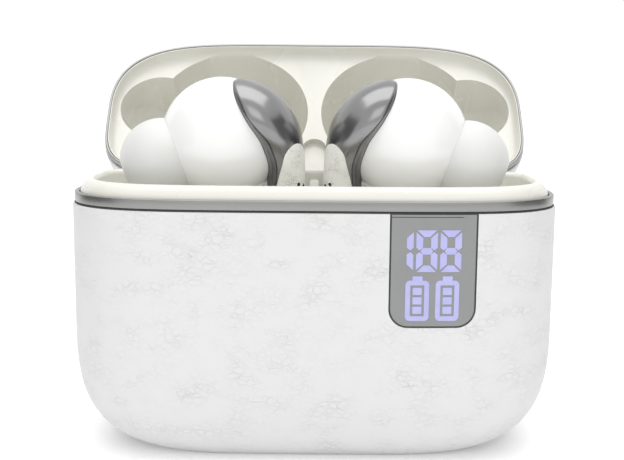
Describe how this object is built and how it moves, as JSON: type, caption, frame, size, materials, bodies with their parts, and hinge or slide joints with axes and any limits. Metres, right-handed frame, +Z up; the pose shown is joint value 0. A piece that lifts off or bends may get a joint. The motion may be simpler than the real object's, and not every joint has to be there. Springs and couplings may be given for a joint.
{
  "type": "wireless earbuds charging case",
  "caption": "Open pocket charging case with a hinged lid, a lit charge display and a pair of stemmed in-ear wireless earbuds seated in it.",
  "frame": {"origin": "centre of the flat base that the body stands on", "axes": "+Z up, +X along the width to the right as seen from the front, the front with the display faces -Y and the hinge is at +Y"},
  "size_m": [0.062, 0.0513, 0.0521],
  "materials": {
    "white_grain": "grained white faux leather",
    "satin_metal": "satin grey metal",
    "ivory_gloss": "glossy ivory white moulding",
    "grey_window": "smoked grey, semi gloss",
    "lavender_light": "lit lavender",
    "white_plastic": "matte white",
    "pouch_foil": "satin foil",
    "red_wire": "satin",
    "green_board": "satin",
    "black_rubber": "matte",
    "black_chip": "satin",
    "screw_steel": "bright steel",
    "port_steel": "drawn steel",
    "amber_flex": "satin",
    "plated_magnet": "plated",
    "hinge_metal": "brushed grey metal",
    "gold_contact": "gold plated",
    "white_gloss": "glossy white",
    "smoked_chrome": "dark chrome",
    "white_grain_inlay": "grained white",
    "silicone": "soft matte silicone",
    "dark_mesh": "matte",
    "cell_steel": "steel can"
  },
  "bodies": {
    "charging_body": {"outer_skin": "white_grain", "rim_strip": "satin_metal", "inner_tray": "ivory_gloss", "display_window": "grey_window", "display_digits": "lavender_light", "display_icons": "lavender_light", "display_module": "white_plastic", "seam_gasket": "black_rubber", "battery_cell": "pouch_foil", "battery_leads": "red_wire", "main_board": "green_board", "board_parts": "black_chip", "board_screws": "screw_steel", "port_board": "green_board", "usb_receptacle": "port_steel", "usb_tongue": "black_chip", "display_flex": "amber_flex", "port_flex": "amber_flex", "contact_flex": "amber_flex", "pin_carriers": "black_chip", "socket_magnets": "plated_magnet", "body_catch_magnet": "plated_magnet", "hinge_base": "hinge_metal", "hinge_rod": "screw_steel"},
    "lid": {"hinge_leaf": "hinge_metal", "lid_skin": "white_grain", "lid_strip": "satin_metal", "lid_web": "ivory_gloss", "left_lid_pocket": "ivory_gloss", "right_lid_pocket": "ivory_gloss", "lid_catch_magnet": "plated_magnet"},
    "left_inner_pin_body": {"left_inner_pin": "gold_contact"},
    "left_outer_pin_body": {"left_outer_pin": "gold_contact"},
    "right_inner_pin_body": {"right_inner_pin": "gold_contact"},
    "right_outer_pin_body": {"right_outer_pin": "gold_contact"},
    "left_earbud": {"left_head_housing": "white_gloss", "left_stem_cover": "smoked_chrome", "left_inlay": "white_grain_inlay", "left_ear_tip": "silicone", "left_nozzle_mesh": "dark_mesh", "left_speaker": "black_chip", "left_bud_cell": "cell_steel", "left_bud_board": "green_board", "left_stem_cap": "white_gloss", "left_contacts": "gold_contact", "left_microphone": "dark_mesh"},
    "right_earbud": {"right_head_housing": "white_gloss", "right_stem_cover": "smoked_chrome", "right_inlay": "white_grain_inlay", "right_ear_tip": "silicone", "right_nozzle_mesh": "dark_mesh", "right_speaker": "black_chip", "right_bud_cell": "cell_steel", "right_bud_board": "green_board", "right_stem_cap": "white_gloss", "right_contacts": "gold_contact", "right_microphone": "dark_mesh"}
  },
  "joints": [
    {"name": "lid_hinge", "type": "hinge", "parent": "charging_body", "child": "lid", "pos_m": [0, 0.0129, 0.033], "axis": [-1, 0, 0], "range_deg": [-132, 0]},
    {"name": "left_earbud_lift", "type": "slide", "parent": "charging_body", "child": "left_earbud", "axis": [0, 0, 1], "range_m": [0, 0.03]},
    {"name": "right_earbud_lift", "type": "slide", "parent": "charging_body", "child": "right_earbud", "axis": [0, 0, 1], "range_m": [0, 0.03]},
    {"name": "left_inner_pin_press", "type": "slide", "parent": "charging_body", "child": "left_inner_pin_body", "axis": [0, 0, 1], "range_m": [-0.0004, 0], "stiffness_N_per_m": 100, "springref_m": 0.0003},
    {"name": "left_outer_pin_press", "type": "slide", "parent": "charging_body", "child": "left_outer_pin_body", "axis": [0, 0, 1], "range_m": [-0.0004, 0], "stiffness_N_per_m": 100, "springref_m": 0.0003},
    {"name": "right_inner_pin_press", "type": "slide", "parent": "charging_body", "child": "right_inner_pin_body", "axis": [0, 0, 1], "range_m": [-0.0004, 0], "stiffness_N_per_m": 100, "springref_m": 0.0003},
    {"name": "right_outer_pin_press", "type": "slide", "parent": "charging_body", "child": "right_outer_pin_body", "axis": [0, 0, 1], "range_m": [-0.0004, 0], "stiffness_N_per_m": 100, "springref_m": 0.0003}
  ]
}
